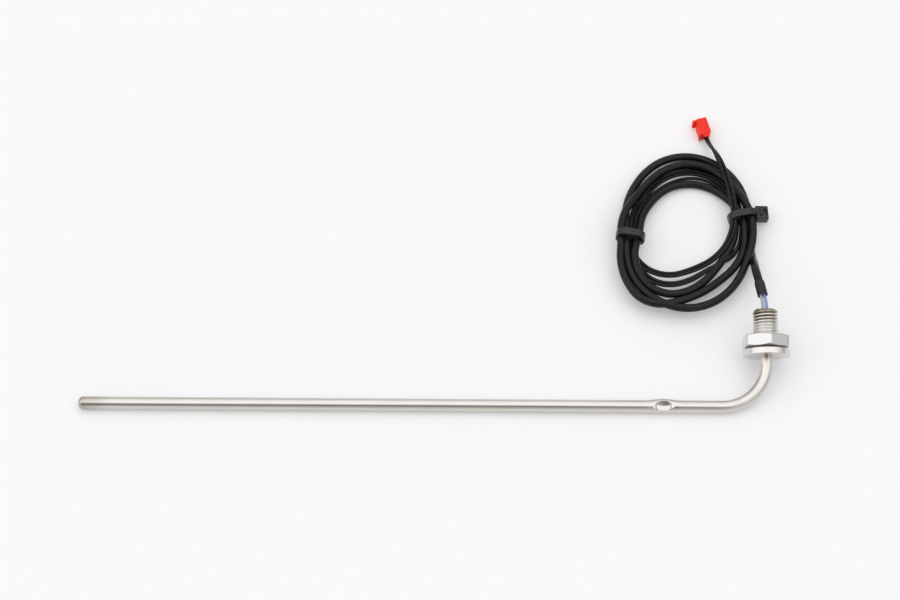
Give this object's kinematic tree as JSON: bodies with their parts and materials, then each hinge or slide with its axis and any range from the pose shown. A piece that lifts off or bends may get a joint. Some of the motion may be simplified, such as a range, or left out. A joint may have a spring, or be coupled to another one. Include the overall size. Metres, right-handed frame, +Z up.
{
  "type": "temperature sensor",
  "caption": "Temperature probe: a long closed steel tube bent square into a flanged threaded stud with a hex nut, and a coiled sleeved lead ending in a small red plug.",
  "frame": {"origin": "on the table, under the middle of the sensor's own pieces (the lead left out)", "axes": "+X along the stem from its closed tip to the bend, +Y the way the stud points seen from above, +Z up"},
  "size_m": [0.2772, 0.1363, 0.0204],
  "materials": {
    "drawn_steel": "drawn, satin",
    "turned_steel": "turned",
    "nut_steel": "turned",
    "ceramic_body": "matte",
    "filler_compound": "matte",
    "grey_insulation": "satin",
    "blue_insulation": "satin",
    "shrink_tube": "satin",
    "black_sleeve": "satin",
    "black_wire": "satin",
    "tie_nylon": "satin",
    "red_nylon": "moulded",
    "tinned_brass": "tinned"
  },
  "bodies": {
    "sensor": {"probe_tube": "drawn_steel", "threaded_fitting": "turned_steel", "sensing_element": "ceramic_body", "tip_filler": "filler_compound", "inner_wire_grey": "grey_insulation", "inner_wire_blue": "blue_insulation", "exit_seal": "filler_compound", "splice_boot": "shrink_tube", "splice_crimp_a": "tinned_brass", "splice_crimp_b": "tinned_brass", "sleeve_run": "black_sleeve", "cable_coil": "black_sleeve", "cable_tie_left": "tie_nylon", "cable_tie_right": "tie_nylon", "lead_wire_a": "black_wire", "lead_wire_b": "black_wire", "connector_housing": "red_nylon", "terminal_a": "tinned_brass", "terminal_b": "tinned_brass"},
    "nut": {"clamp_nut": "nut_steel"}
  },
  "joints": [
    {"name": "nut_travel", "type": "slide", "parent": "sensor", "child": "nut", "axis": [0, 0.9505, 0.3107], "range_m": [-0.0006, 0.01]}
  ]
}
